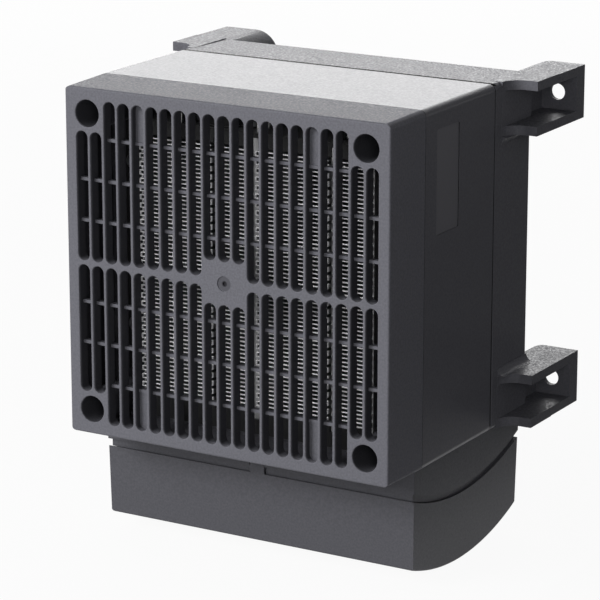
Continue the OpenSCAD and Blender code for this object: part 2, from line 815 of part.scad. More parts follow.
// Square-wave ribbon of thickness t, n legs stacked along the second axis
function wave_point(i, w, pitch) = [(i % 4 == 1 || i % 4 == 2) ? w : 0, floor(i / 2) * pitch];
function way(a, b) = (b - a) / norm(b - a);
function left_of(d) = [-d[1], d[0]];
function ribbon_side(points, t, side) =
    [for (i = [0:len(points) - 1])
        let (last = len(points) - 1,
             into = i == 0 ? [0, 0] : left_of(way(points[i - 1], points[i])),
             out = i == last ? [0, 0] : left_of(way(points[i], points[i + 1])))
        points[i] + side * t / 2 * (into + out)];
function reversed(list) = [for (i = [len(list) - 1:-1:0]) list[i]];
module fin_outline() {
    legs = floor((fin_h - fin_t) / fin_pitch) + 1;
    line = [for (i = [0:2 * legs - 1]) wave_point(i, fin_w - fin_t, fin_pitch)];
    slack = (fin_h - (legs - 1) * fin_pitch) / 2;
    ribbon = concat(ribbon_side(line, fin_t, 1), reversed(ribbon_side(line, fin_t, -1)));
    translate([fin_t / 2, slack]) polygon(ribbon);
}
module fin_strips() {
    color(alu) for (k = [0:elements - 1]) {
        for (x = [element_x(k) + tube_w / 2 + nest, element_x(k) - tube_w / 2 - nest - fin_w])
            translate([x, 0, fin_z0]) along_y(element_y0, element_y1) fin_outline();
    }
}
module fin_carriers() {
    color(alu) for (k = [0:elements - 1], side = [-1, 1]) {
        x = element_x(k) + side * (element_half - plate_t / 2);
        box(x - plate_t / 2, x + plate_t / 2, tube_y0, element_y1,
            fin_z0 - plate_over, fin_z1 + plate_over);
    }
}
module element_tubes() {
    color(alu) for (k = [0:elements - 1]) translate([element_x(k), tube_mid_y]) difference() {
        along_z(fin_z0 - tube_over, fin_z1 + tube_over) square([tube_w, tube_depth], center = true);
        along_z(fin_z0 - tube_over - over, fin_z1 + tube_over + over)
            square([tube_w - 2 * tube_wall, tube_depth - 2 * tube_wall], center = true);
    }
}
module ceramic_stones() {
    length = fin_h / stones;
    color(ivory) for (k = [0:elements - 1], s = [0:stones - 1])
        translate([element_x(k), tube_mid_y])
            along_z(fin_z0 + s * length + nest, fin_z0 + (s + 1) * length - nest)
                square([tube_w - 2 * tube_wall - 2 * nest, tube_depth - 2 * tube_wall - 2 * stone_gap],
                       center = true);
}

// Carrier plate with a channel above the elements and an air skirt below them
module element_pockets(tube_end, plate_end) {
    y0 = element_y0 - over;
    y1 = element_y1 + pocket_play;
    tube_half = tube_w / 2 + pocket_play;
    plate_half = plate_t / 2 + pocket_play;
    for (k = [0:elements - 1]) {
        x = element_x(k);
        box(x - tube_half, x + tube_half, y0, y1, fin_z0 - tube_end, fin_z1 + tube_end);
        for (side = [-1, 1]) {
            px = x + side * (element_half - plate_t / 2);
            box(px - plate_half, px + plate_half, y0, y1, fin_z0 - plate_end, fin_z1 + plate_end);
        }
    }
}
module heater_carrier() {
    window = pack_half + channel_gap;
    channel = pack_half + channel_margin;
    color(graphite) difference() {
        union() {
            along_y(carrier_y0, carrier_y1) difference() {
                square([in_w - 4 * fit, in_h - 4 * fit], center = true);
                for (sx = [-1, 1], sz = [-1, 1]) translate([sx * in_w / 2, sz * in_h / 2])
                    square(2 * (carrier_corner - wall), center = true);
                translate([heater_dx - window, channel_low]) square([2 * window, channel_high - channel_low]);
            }
            for (z = [[channel_high, channel_high + channel_h], [skirt_z, channel_low]])
                box(heater_dx - channel, heater_dx + channel, channel_y0, carrier_y1, z[0], z[1]);
        }
        element_pockets(tube_over + pocket_play, plate_over + pocket_play);
        tab_slots(pocket_play);
        four_corners(seat_x, seat_z) along_y(carrier_y0 - over, carrier_y1 + over)
            circle(d = heater_screw_d + screw_play);
        four_corners(well_x, well_z) along_y(channel_y0 - over, y_seam + over) circle(well_outer + 2 * fit);
        for (side = [-1, 1]) translate([limiter_x + side * limiter_ear, limiter_y, limiter_z - limiter_hole])
            cylinder(d = limiter_screw_d + 2 * thread_fit, h = limiter_hole + over);
    }
}
module heater_screws() {
    color(steel) four_corners(seat_x, seat_z) translate([0, carrier_y0, 0])
        pan_screw(heater_screw_d, carrier_t + heater_screw_grip);
}

// Push-on tabs that rise out of the upper channel, two to each element
tab_t = 0.8;
tab_rise = 7;
tab_grip = 2;
tab_space = 1;
tab_room = tube_depth - 2 * tube_wall;
tab_w = min(6.3, (tab_room - 3 * tab_space) / 2);
tab_y = (tab_w + (tab_room - 2 * tab_w) / 3) / 2;
module tab_slots(play) {
    for (k = [0:elements - 1], side = [-1, 1]) {
        y = tube_mid_y + side * tab_y;
        box(element_x(k) - tab_t / 2 - play, element_x(k) + tab_t / 2 + play,
            y - tab_w / 2 - play, y + tab_w / 2 + play,
            fin_z1 + tube_over - tab_grip, channel_high + channel_h + (play > 0 ? over : tab_rise));
    }
}
module contact_tabs() {
    color(steel) tab_slots(0);
}

// Safety cut-out on the upper channel, between two elements
limiter_d = 15;
limiter_h = 5;
limiter_flange_t = 0.8;
limiter_ear = 10.6;
limiter_screw_d = 2.5;
limiter_screw_grip = 4;
limiter_hole = limiter_screw_grip + 0.5;
limiter_tab_h = 4;
limiter_x = heater_dx - element_pitch / 2;
limiter_y = (channel_y0 + carrier_y0) / 2;
limiter_z = channel_high + channel_h;
module temperature_limiter() {
    color(graphite) {
        translate([limiter_x, limiter_y, limiter_z + limiter_flange_t])
            cylinder(d = limiter_d, h = limiter_h);
        difference() {
            translate([limiter_x, limiter_y, limiter_z]) linear_extrude(limiter_flange_t) {
                square([2 * limiter_ear, 6], center = true);
                for (side = [-1, 1]) translate([side * limiter_ear, 0]) circle(3);
                circle(d = limiter_d + 1);
            }
            for (side = [-1, 1]) translate([limiter_x + side * limiter_ear, limiter_y, limiter_z - over])
                cylinder(d = limiter_screw_d + screw_play, h = limiter_flange_t + 2 * over);
        }
        for (side = [-1, 1]) {
            y = limiter_y + side * 4.5;
            z = limiter_z + limiter_flange_t + limiter_h - 0.5;
            box(limiter_x - 3.15, limiter_x + 3.15, y - 0.4, y + 0.4, z, z + limiter_tab_h);
        }
    }
}
module limiter_screws() {
    color(steel) for (side = [-1, 1])
        translate([limiter_x + side * limiter_ear, limiter_y, limiter_z + limiter_flange_t])
            screw_down(limiter_screw_d, limiter_flange_t + limiter_screw_grip);
}

// Axial fan
flange_t = 5;
frame_corner_r = 4;
frame_bore_r = fan_size / 2 - 3;
frame_barrel_t = 2;
motor_plate_t = 3;
motor_plate_r = hub_d / 2 - 1;
strut_w = 6;
struts = 4;
hub_wall = 2.5;
hub_back_gap = 3;
hub_front_gap = 1.2;
hub_y0 = fan_y0 + motor_plate_t + hub_front_gap;
hub_y1 = fan_y1 - hub_back_gap;
stator_gap = 1;
stator_r = hub_d / 2 - hub_wall - stator_gap;
stator_y1 = hub_y1 - hub_wall - 2.5;
shaft_r = 2.5;
bearing_r = 6;
bearing_fit = 0.05;
bearing_y0 = fan_y0 + motor_plate_t + 1.5;
clip_t = 0.8;
clip_gap = 0.3;
shaft_y0 = bearing_y0 - clip_gap - clip_t - 0.8;
module fan_frame() {
    color(graphite) difference() {
        union() {
            difference() {
                union() {
                    for (y = [fan_y0, fan_y1 - flange_t])
                        along_y(y, y + flange_t) rounded_rect(fan_size, fan_size, frame_corner_r);
                    along_y(fan_y0, fan_y1) circle(frame_bore_r + frame_barrel_t);
                }
                along_y(fan_y0 - over, fan_y1 + over) circle(frame_bore_r);
                four_corners(fan_hole, fan_hole) along_y(fan_y0 - over, fan_y1 + over)
                    circle(d = fan_screw_d + screw_play);
            }
            along_y(fan_y0, fan_y0 + motor_plate_t) {
                circle(motor_plate_r);
                for (k = [0:struts / 2 - 1]) rotate(45 + k * 360 / struts)
                    square([2 * frame_bore_r + frame_barrel_t, strut_w], center = true);
            }
        }
        along_y(fan_y0 - over, fan_y0 + motor_plate_t + over) circle(bearing_r + 1);
    }
}
// Four wound poles on a ring
module fan_stator() {
    y0 = fan_y0 + motor_plate_t;
    ring_r = bearing_r + 5;
    color(copper) difference() {
        along_y(y0, stator_y1) {
            circle(ring_r);
            for (turn = [0, 90]) rotate(turn) square([2 * stator_r - 2, 9], center = true);
            difference() {
                circle(stator_r);
                circle(stator_r - 4);
                for (turn = [45, 135]) rotate(turn) square([2 * stator_r + 2, 5], center = true);
            }
        }
        along_y(y0 - over, stator_y1 + over) circle(bearing_r + bearing_fit);
    }
}
module fan_bearing() {
    color(brass) along_y(bearing_y0, stator_y1 - over) difference() {
        circle(bearing_r);
        circle(shaft_r + bearing_fit);
    }
}
module fan_shaft() {
    color(steel) along_y(shaft_y0, hub_y1 - hub_wall) circle(shaft_r);
}
module shaft_clip() {
    color(steel) along_y(bearing_y0 - clip_gap - clip_t, bearing_y0 - clip_gap) difference() {
        circle(shaft_r + 2);
        circle(shaft_r + nest);
        translate([-1, 0]) square([2, 2 * shaft_r + 4]);
    }
}
// Impeller: each blade is an arc-shaped section drawn out along a radius
blade_t = 1.8;
blade_arc_r = 60;
blade_lean = 135;
blade_half_span = 16;
blade_steps = 6;
blade_tip_r = frame_bore_r - tip_gap;
blade_mid_y = (hub_y0 + hub_y1) / 2 - 1.6;
blade_centre = [blade_mid_y, 0] - blade_arc_r * [cos(blade_lean), sin(blade_lean)];
blade_section = concat(
    arc_points(blade_centre, blade_arc_r + blade_t / 2,
               blade_lean - blade_half_span, blade_lean + blade_half_span, blade_steps),
    arc_points(blade_centre, blade_arc_r - blade_t / 2,
               blade_lean + blade_half_span, blade_lean - blade_half_span, blade_steps));
module blade() {
    intersection() {
        along_y(hub_y0, hub_y1) difference() {
            circle(blade_tip_r);
            circle(hub_d / 2 - hub_wall / 2);
        }
        along_x(hub_d / 4, blade_tip_r + over) polygon(blade_section);
    }
}
module fan_impeller() {
    color(graphite) {
        difference() {
            along_y(hub_y0, hub_y1) circle(d = hub_d);
            along_y(hub_y0 - over, hub_y1 - hub_wall) circle(d = hub_d - 2 * hub_wall);
        }
        for (k = [0:blade_count - 1]) rotate([0, k * 360 / blade_count, 0]) blade();
    }
}
module fan_screws() {
    length = shroud_t + fan_depth + fan_boss_h + wall - over - 0.6;
    color(steel) four_corners(fan_hole, fan_hole) translate([0, shroud_y0, 0])
        pan_screw(fan_screw_d, length);
}

front_grille();
middle_housing();
rear_housing();
terminal_box();
terminal_cover();
housing_screws();
heater_carrier();
heater_screws();
element_tubes();
ceramic_stones();
fin_strips();
fin_carriers();
contact_tabs();
temperature_limiter();
limiter_screws();
fan_frame();
fan_stator();
fan_bearing();
fan_shaft();
fan_impeller();
shaft_clip();
fan_screws();
box_screws();
terminal_block();
terminal_clamps();
terminal_screws();
block_screws();
cable_grommet();
strain_clamp();
strain_screws();
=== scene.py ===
# %% [markdown]
# # A cabinet fan heater in Blender
# The heater is a black plastic box of three moulded shells, screwed together from the front.
# A slotted grille covers finned heating elements, a fan blows through them from behind, four feet
# carry the box on a wall, and a terminal box with a curved cover hangs below.
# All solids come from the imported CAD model, in metres, with the wall at Y = 0 and the grille at -Y.
# Blender adds what CAD leaves plain: the rounded edges of the mouldings and the finish of every surface.

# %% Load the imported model
import json
import math

import bpy
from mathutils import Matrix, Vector

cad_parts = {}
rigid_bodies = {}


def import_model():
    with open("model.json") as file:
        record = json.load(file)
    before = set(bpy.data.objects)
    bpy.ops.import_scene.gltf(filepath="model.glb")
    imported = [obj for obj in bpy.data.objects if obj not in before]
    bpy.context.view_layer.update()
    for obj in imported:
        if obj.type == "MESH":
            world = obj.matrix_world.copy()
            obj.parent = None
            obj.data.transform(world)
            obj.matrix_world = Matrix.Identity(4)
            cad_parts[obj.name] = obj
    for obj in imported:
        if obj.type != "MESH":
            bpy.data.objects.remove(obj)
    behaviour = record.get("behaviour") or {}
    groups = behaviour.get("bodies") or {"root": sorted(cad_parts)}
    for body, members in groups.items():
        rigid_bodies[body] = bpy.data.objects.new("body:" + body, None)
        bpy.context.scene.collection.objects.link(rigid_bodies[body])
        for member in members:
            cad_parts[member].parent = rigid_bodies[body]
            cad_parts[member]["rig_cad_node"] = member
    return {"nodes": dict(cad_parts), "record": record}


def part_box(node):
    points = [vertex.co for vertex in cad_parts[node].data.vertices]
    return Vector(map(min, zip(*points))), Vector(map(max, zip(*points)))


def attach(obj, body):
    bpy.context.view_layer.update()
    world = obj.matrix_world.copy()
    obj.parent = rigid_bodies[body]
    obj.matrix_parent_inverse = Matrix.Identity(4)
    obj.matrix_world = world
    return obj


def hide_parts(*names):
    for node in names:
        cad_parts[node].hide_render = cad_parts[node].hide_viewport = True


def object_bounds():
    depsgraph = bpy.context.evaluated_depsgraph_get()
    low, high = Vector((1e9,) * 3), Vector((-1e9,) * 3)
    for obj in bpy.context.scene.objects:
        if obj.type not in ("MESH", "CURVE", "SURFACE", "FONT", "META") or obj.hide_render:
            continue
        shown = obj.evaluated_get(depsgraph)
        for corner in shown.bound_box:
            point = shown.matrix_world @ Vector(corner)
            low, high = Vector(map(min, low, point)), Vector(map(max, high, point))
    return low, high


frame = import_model()
cad_low, cad_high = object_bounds()
MM = 0.001
print("solids:", len(frame["nodes"]), "box in mm:", [round(x / MM, 1) for x in cad_high - cad_low])

# %% [markdown]
# ## Camera
# The portrait is taken from the right of the grille and a little above it, from over a metre away.
# A long lens keeps the verticals nearly parallel. The place and the two angles come from fitting the
# corners of the box, the screw wells and the feet. A shifted lens could make the verticals exactly parallel,
# but it would push the heater off centre in all other views, so the lens is left unshifted.

# %% Camera
camera_place = (0.565245, -1.038144, 0.286479)
camera_down_deg = 15.319
camera_turn_deg = 30.475
lens_mm = 182.95
sensor_mm = 36.0

bpy.ops.object.select_all(action="DESELECT")
bpy.ops.object.camera_add(
    location=camera_place,
    rotation=(math.radians(90 - camera_down_deg), 0, math.radians(camera_turn_deg)),
)
camera = bpy.context.object
camera.name = "portrait_camera"
camera.data.lens = lens_mm
camera.data.sensor_width = sensor_mm
bpy.context.scene.camera = camera
print("camera:", [round(x, 3) for x in camera.location], "lens", lens_mm)

# %% [markdown]
# ## Floor
# A studio floor is a wide plain sheet. A curved backdrop would hide the horizon, but the camera looks down
# and sees none, so one plane is enough.

# %% Floor sheet
floor_size = 30.0

bpy.ops.object.select_all(action="DESELECT")
bpy.ops.mesh.primitive_plane_add(size=floor_size, location=(0, 0, cad_low.z))
floor = bpy.context.object
floor.name = "studio_floor"
print("floor at", round(cad_low.z / MM, 1), "mm")

# %% [markdown]
# ## Paper
# The paper on the floor is white in the picture. Enough light to make it so would bleach the heater, so most
# of the white is a glow of strength 1 that only the camera, reflections and clear materials see. The rest is
# an ordinary pale surface, which keeps a soft shadow under the heater.

# %% Pale paper
floor_white = (0.5, 0.5, 0.5, 1)
floor_glow = 0.94

paper = bpy.data.materials.new("pale_paper")
paper.use_nodes = True
nodes, links = paper.node_tree.nodes, paper.node_tree.links
nodes.clear()
path = nodes.new("ShaderNodeLightPath")
seen = path.outputs["Is Camera Ray"]
for ray in ("Is Glossy Ray", "Is Transmission Ray"):
    either = nodes.new("ShaderNodeMath")
    either.operation = "MAXIMUM"
    links.new(seen, either.inputs[0])
    links.new(path.outputs[ray], either.inputs[1])
    seen = either.outputs[0]
share = nodes.new("ShaderNodeMath")
share.operation = "MULTIPLY"
share.inputs[1].default_value = floor_glow
links.new(seen, share.inputs[0])

plain = nodes.new("ShaderNodeBsdfDiffuse")
plain.inputs["Color"].default_value = floor_white
glow = nodes.new("ShaderNodeEmission")
glow.inputs["Color"].default_value = (1, 1, 1, 1)
glow.inputs["Strength"].default_value = 1
blend = nodes.new("ShaderNodeMixShader")
out = nodes.new("ShaderNodeOutputMaterial")
links.new(share.outputs[0], blend.inputs[0])
links.new(plain.outputs[0], blend.inputs[1])
links.new(glow.outputs[0], blend.inputs[2])
links.new(blend.outputs[0], out.inputs["Surface"])
floor.data.materials.append(paper)
print("paper glows with", floor_glow)

# %% [markdown]
# ## Lamps
# Black plastic shows mostly what it mirrors, so the lamps are large soft panels; small spots would leave
# hard glints. The key panel stands in front and to the left and lights the grille. A wide panel behind the
# heater lies low, where the tops mirror it towards the camera, and gives them their silvery sheen. A small
# weak panel on the right opens the shadows inside the slots and the feet.

# %% Lamps
object_middle = (cad_low + cad_high) / 2


def softbox(name, place, size, watts):
    """A rectangular panel lamp that faces the middle of the heater and stays out of the picture."""
    bpy.ops.object.light_add(type="AREA", location=place)
    lamp = bpy.context.object
    lamp.name = name
    lamp.data.shape = "RECTANGLE"
    lamp.data.size, lamp.data.size_y = size
    lamp.data.energy = watts
    lamp.visible_camera = False
    aim = object_middle - Vector(place)
    lamp.rotation_euler = aim.to_track_quat("-Z", "Y").to_euler()
    return lamp


softbox("key_panel", place=(-0.85, -1.35, 0.72), size=(1.0, 0.8), watts=34)
softbox("sheen_panel", place=(-0.75, 1.25, 0.50), size=(1.9, 0.7), watts=18)
softbox("fill_panel", place=(0.70, -1.15, 0.34), size=(0.5, 0.5), watts=4)

# %% [markdown]
# ## Black card
# The pale floor throws light up at the right side of the heater, which should stay nearly black. A darker
# plastic would be wrong under any other light. In a studio a black card is laid beside the object, and so it
# is here: a plane just above the floor, which the camera doesn't see and which casts no shadow of its own.

# %% Black card
card_low = (0.11, -0.5)
card_high = (1.1, 1.3)
velvet_black = (0.02, 0.02, 0.02, 1)

bpy.ops.object.select_all(action="DESELECT")
bpy.ops.mesh.primitive_plane_add(size=1)
card = bpy.context.object
card.name = "black_card"
card.scale = (card_high[0] - card_low[0], card_high[1] - card_low[1], 1)
card.location = ((card_low[0] + card_high[0]) / 2, (card_low[1] + card_high[1]) / 2, cad_low.z + MM)
bpy.ops.object.transform_apply(location=True, rotation=True, scale=True)
card.visible_camera = False
card.visible_shadow = False
velvet = bpy.data.materials.new("black_velvet")
velvet.use_nodes = True
velvet_shader = velvet.node_tree.nodes["Principled BSDF"]
velvet_shader.inputs["Base Color"].default_value = velvet_black
velvet_shader.inputs["Specular IOR Level"].default_value = 0
card.data.materials.append(velvet)
print("card from", card_low, "to", card_high)

# %% [markdown]
# ## Room
# A real studio has grey walls, which fill in what the lamps don't reach. A modelled room would cost render
# time, so the world gives an even dim grey. Standard view keeps every colour about as it is written.

# %% Grey room
room_grey = 0.18

room = bpy.data.worlds.new("grey_room")
room.use_nodes = True
room.node_tree.nodes["Background"].inputs["Color"].default_value = (room_grey, room_grey, room_grey, 1)
bpy.context.scene.world = room
bpy.context.scene.view_settings.view_transform = "Standard"
print("room grey:", room_grey)

# %% [markdown]
# ## Writing a finish
# Every finish below is a Principled shader fed by noise in Object coordinates. Photographed textures would
# need UV maps, which the solids don't have. All pieces keep their origin at the frame's origin, so a grain
# given in millimetres has its true size on each of them. One helper starts a finish, and one makes a noise.

# %% Start a finish and make a grain
def start_finish(name, **settings):
    """A new material and its Principled shader, with plain numbers set on the shader's own sockets."""
    material = bpy.data.materials.new(name)
    material.use_nodes = True
    shader = material.node_tree.nodes["Principled BSDF"]
    for socket, value in settings.items():
        shader.inputs[socket.replace("_", " ")].default_value = value
    return material, shader


def grain(material, grain_mm, detail=2.0, stretch=(1, 1, 1)):
    """Noise whose grains are about grain_mm across, drawn out along an axis by a stretch under 1."""
    tree = material.node_tree
    place = tree.nodes.new("ShaderNodeTexCoord")
    mapping = tree.nodes.new("ShaderNodeMapping")
    mapping.inputs["Scale"].default_value = stretch
    noise = tree.nodes.new("ShaderNodeTexNoise")
    noise.inputs["Scale"].default_value = 1 / (grain_mm * MM)
    noise.inputs["Detail"].default_value = detail
    tree.links.new(place.outputs["Object"], mapping.inputs["Vector"])
    tree.links.new(mapping.outputs["Vector"], noise.inputs["Vector"])
    return noise.outputs["Fac"]


print("grains ready")

# %% [markdown]
# ## Using a grain
# On a real surface the same pits and flow lines change colour, gloss and shape together. Separate noises
# would look like layers of paint, so one noise can feed three helpers: one turns it into a range of colours,
# one into a range of roughness and one into fine relief.

# %% Colour, gloss and relief from a grain
def colours(material, shader, pattern, dark, light, start=0.35, end=0.65):
    """Colours the shader from dark to light where the pattern goes from start to end."""
    ramp = material.node_tree.nodes.new("ShaderNodeValToRGB")
    ramp.color_ramp.elements[0].position = start
    ramp.color_ramp.elements[0].color = (*dark, 1)
    ramp.color_ramp.elements[1].position = end
    ramp.color_ramp.elements[1].color = (*light, 1)
    material.node_tree.links.new(pattern, ramp.inputs["Fac"])
    material.node_tree.links.new(ramp.outputs["Color"], shader.inputs["Base Color"])


def roughnesses(material, shader, pattern, low, high, start=0.3, end=0.7):
    """Lets the roughness wander from low to high where the pattern goes from start to end."""
    spread = material.node_tree.nodes.new("ShaderNodeMapRange")
    spread.inputs["From Min"].default_value = start
    spread.inputs["From Max"].default_value = end
    spread.inputs["To Min"].default_value = low
    spread.inputs["To Max"].default_value = high
    material.node_tree.links.new(pattern, spread.inputs["Value"])
    material.node_tree.links.new(spread.outputs["Result"], shader.inputs["Roughness"])


def relief(material, shader, pattern, depth_mm):
    """Raises and sinks the surface's shading by about depth_mm with the pattern."""
    bump = material.node_tree.nodes.new("ShaderNodeBump")
    bump.inputs["Strength"].default_value = 1
    bump.inputs["Distance"].default_value = depth_mm * MM
    material.node_tree.links.new(pattern, bump.inputs["Height"])
    material.node_tree.links.new(bump.outputs["Normal"], shader.inputs["Normal"])


def tint(colour, factor):
    """The same colour, lighter or darker."""
    return tuple(c * factor for c in colour)


print("colour, gloss and relief ready")

# %% [markdown]
# ## Spark-textured shell plastic
# The mouldings come out of spark-eroded tools, which leave a fine, even pebble over the black plastic.
# The pebble could be displaced geometry, but at under a millimetre it would take millions of faces, so it is
# noise. Relief alone looks like leather, so the same noise mostly varies the roughness, and the facets
# sparkle as they do on the real thing. Each moulding has its own tool: the middle shell is the smoothest and
# mirrors the most, the grille is the most matt, and the terminal box and its cover are darker.

# %% Shell plastic
shell_grey = (0.088, 0.088, 0.100)
mottle_mm = 0.8
pebble_mm = 0.9


def shell_finish(name, lightness, specular, roughness, sparkle, pebble_depth_mm):
    """Black plastic with a moulded pebble whose facets sparkle, and a slight unevenness in its grey."""
    material, shader = start_finish(name, Specular_IOR_Level=specular)
    mottle = grain(material, mottle_mm, detail=4)
    colours(material, shader, mottle, tint(shell_grey, 0.9 * lightness), tint(shell_grey, 1.1 * lightness))
    pebble = grain(material, pebble_mm, detail=3)
    roughnesses(material, shader, pebble, roughness - sparkle, roughness + sparkle)
    relief(material, shader, pebble, pebble_depth_mm)
    return material, shader


grille_plastic, grille_shader = shell_finish(
    "grille_plastic", lightness=1.33, specular=0.045, roughness=0.46, sparkle=0.16, pebble_depth_mm=0.06
)
middle_plastic, middle_shader = shell_finish(
    "middle_plastic", lightness=1.08, specular=0.20, roughness=0.36, sparkle=0.05, pebble_depth_mm=0.03
)
rear_plastic, rear_shader = shell_finish(
    "rear_plastic", lightness=1.08, specular=0.16, roughness=0.46, sparkle=0.17, pebble_depth_mm=0.06
)
box_plastic, _ = shell_finish(
    "box_plastic", lightness=0.76, specular=0.18, roughness=0.48, sparkle=0.06, pebble_depth_mm=0.02
)
cover_plastic, _ = shell_finish(
    "cover_plastic", lightness=0.76, specular=0.18, roughness=0.48, sparkle=0.06, pebble_depth_mm=0.02
)
print("shell finishes:", [m.name for m in (grille_plastic, middle_plastic, rear_plastic, cover_plastic)])

# %% [markdown]
# ## Masks
# Some places on a moulding differ from the rest: a well, a recess, a seam. They could be separate pieces, or
# painted on a UV map, but a mask by place needs neither. A mask is 1 where a change is wanted and 0
# elsewhere. It comes from a range along an axis, and several masks multiply into one.

# %% Masks by place
def along(material, axis, start_mm, end_mm):
    """Goes from 0 to 1 where the place along an axis of the piece goes from start_mm to end_mm."""
    tree = material.node_tree
    place = tree.nodes.new("ShaderNodeTexCoord")
    split = tree.nodes.new("ShaderNodeSeparateXYZ")
    step = tree.nodes.new("ShaderNodeMapRange")
    step.inputs["From Min"].default_value = start_mm * MM
    step.inputs["From Max"].default_value = end_mm * MM
    tree.links.new(place.outputs["Object"], split.inputs["Vector"])
    tree.links.new(split.outputs[axis], step.inputs["Value"])
    return step.outputs["Result"]


def all_of(material, *masks):
    """1 only where all the masks are 1."""
    result = masks[0]
    for mask in masks[1:]:
        product = material.node_tree.nodes.new("ShaderNodeMath")
        product.operation = "MULTIPLY"
        material.node_tree.links.new(result, product.inputs[0])
        material.node_tree.links.new(mask, product.inputs[1])
        result = product.outputs[0]
    return result


def between(material, axis, low_mm, high_mm, soft_mm=0.1):
    """1 between two places along an axis, with soft ends inside them."""
    return all_of(
        material,
        along(material, axis, low_mm, low_mm + soft_mm),
        along(material, axis, high_mm, high_mm - soft_mm),
    )


print("masks by place ready")

# %% [markdown]
# ## Masks by facing, and patches
# Walls and floors often meet at the same place and differ only in the way they look, so a second kind of mask
# reads the direction of the face. A patch then mixes another colour over the finish where its mask is 1.

# %% Masks by facing, and patches
def facing(material, axis, both_ways=False, start=0.5, end=0.8):
    """1 on faces that look along an axis, or along it either way, and 0 on the others."""
    tree = material.node_tree
    geometry = tree.nodes.new("ShaderNodeNewGeometry")
    split = tree.nodes.new("ShaderNodeSeparateXYZ")
    step = tree.nodes.new("ShaderNodeMapRange")
    step.inputs["From Min"].default_value = start
    step.inputs["From Max"].default_value = end
    tree.links.new(geometry.outputs["Normal"], split.inputs["Vector"])
    part = split.outputs[axis]
    if both_ways:
        size = tree.nodes.new("ShaderNodeMath")
        size.operation = "ABSOLUTE"
        tree.links.new(part, size.inputs[0])
        part = size.outputs[0]
    tree.links.new(part, step.inputs["Value"])
    return step.outputs["Result"]


def patch(material, shader, mask, colour):
    """Changes the shader's colour to another one where a mask is 1."""
    tree = material.node_tree
    blend = tree.nodes.new("ShaderNodeMix")
    blend.data_type = "RGBA"
    first = shader.inputs["Base Color"].links[0].from_socket
    below, above, result = blend.inputs[6], blend.inputs[7], blend.outputs[2]
    tree.links.new(mask, blend.inputs[0])
    tree.links.new(first, below)
    above.default_value = (*colour, 1)
    tree.links.new(result, shader.inputs["Base Color"])


print("masks by facing and patches ready")

# %% [markdown]
# ## Wells and gate mark
# The deep screw wells of the grille hold little light. At the centre is the gate mark, a shallow dimple with
# a pit, where the plastic flowed into the tool. The shapes are in the solid, and more geometry would not
# change their tone, so round masks seen from the front paint shade into them: the wells nearly black, the
# dimple a little darker and its pit much darker.

# %% Wells and gate mark
face_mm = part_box("front_grille")[0].y / MM
well_place_mm = (58.8, 0.0, 56.8)
well_rim_mm = (5.4, 5.0)
well_start_mm = (0.4, 1.2)
well_painted_shade = (0.012, 0.012, 0.014)
gate_rim_mm = (2.9, 2.5)
gate_shade_lightness = 0.85
pit_rim_mm = (1.3, 0.9)
pit_shade_lightness = 0.30


def round_spots(material, place_mm, rim_mm):
    """1 inside round spots seen from the front, at a place and its mirror images to the left and below."""
    tree = material.node_tree
    here = tree.nodes.new("ShaderNodeTexCoord")
    corner = tree.nodes.new("ShaderNodeVectorMath")
    corner.operation = "ABSOLUTE"
    flatten = tree.nodes.new("ShaderNodeVectorMath")
    flatten.operation = "MULTIPLY"
    flatten.inputs[1].default_value = (1, 0, 1)
    reach = tree.nodes.new("ShaderNodeVectorMath")
    reach.operation = "DISTANCE"
    reach.inputs[1].default_value = Vector(place_mm) * MM
    inside_rim = tree.nodes.new("ShaderNodeMapRange")
    inside_rim.inputs["From Min"].default_value = rim_mm[0] * MM
    inside_rim.inputs["From Max"].default_value = rim_mm[1] * MM
    tree.links.new(here.outputs["Object"], corner.inputs[0])
    tree.links.new(corner.outputs["Vector"], flatten.inputs[0])
    tree.links.new(flatten.outputs["Vector"], reach.inputs[0])
    tree.links.new(reach.outputs["Value"], inside_rim.inputs["Value"])
    return inside_rim.outputs["Result"]


wells = all_of(
    grille_plastic,
    round_spots(grille_plastic, well_place_mm, well_rim_mm),
    along(grille_plastic, "Y", face_mm + well_start_mm[0], face_mm + well_start_mm[1]),
)
# Painted shade: the inside of each screw well is made nearly black.
patch(grille_plastic, grille_shader, wells, well_painted_shade)
# Painted shade: the gate mark's dimple a little darker, and its pit much darker.
for rim_mm, lightness in ((gate_rim_mm, gate_shade_lightness), (pit_rim_mm, pit_shade_lightness)):
    spot = round_spots(grille_plastic, (0, 0, 0), rim_mm)
    patch(grille_plastic, grille_shader, spot, tint(shell_grey, lightness))
print("wells dark from", round(face_mm + well_start_mm[0], 2), "mm")

# %% [markdown]
# ## Slot walls
# The walls between the slots lie in shade, and a darker colour paints that shade onto them, so the slots read
# as deep. The mask takes the faces that look sideways, from just below the face inwards, and leaves out the
# two outer sides of the shell.

# %% Slot walls
side_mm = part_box("middle_housing")[1].x / MM
outer_wall_mm = 2.4
wall_start_mm = (0.3, 1.3)
wall_soft_mm = 0.2
slot_wall_painted_shade = (0.040, 0.040, 0.046)

slot_wall_shade_mask = all_of(
    grille_plastic,
    between(grille_plastic, "X", outer_wall_mm - side_mm, side_mm - outer_wall_mm, wall_soft_mm),
    along(grille_plastic, "Y", face_mm + wall_start_mm[0], face_mm + wall_start_mm[1]),
    facing(grille_plastic, "X", both_ways=True),
)
# Painted shade: faces that look sideways inside the slots are made darker.
patch(grille_plastic, grille_shader, slot_wall_shade_mask, slot_wall_painted_shade)
print("slot walls dark within", round(side_mm - outer_wall_mm, 1), "mm of the middle")
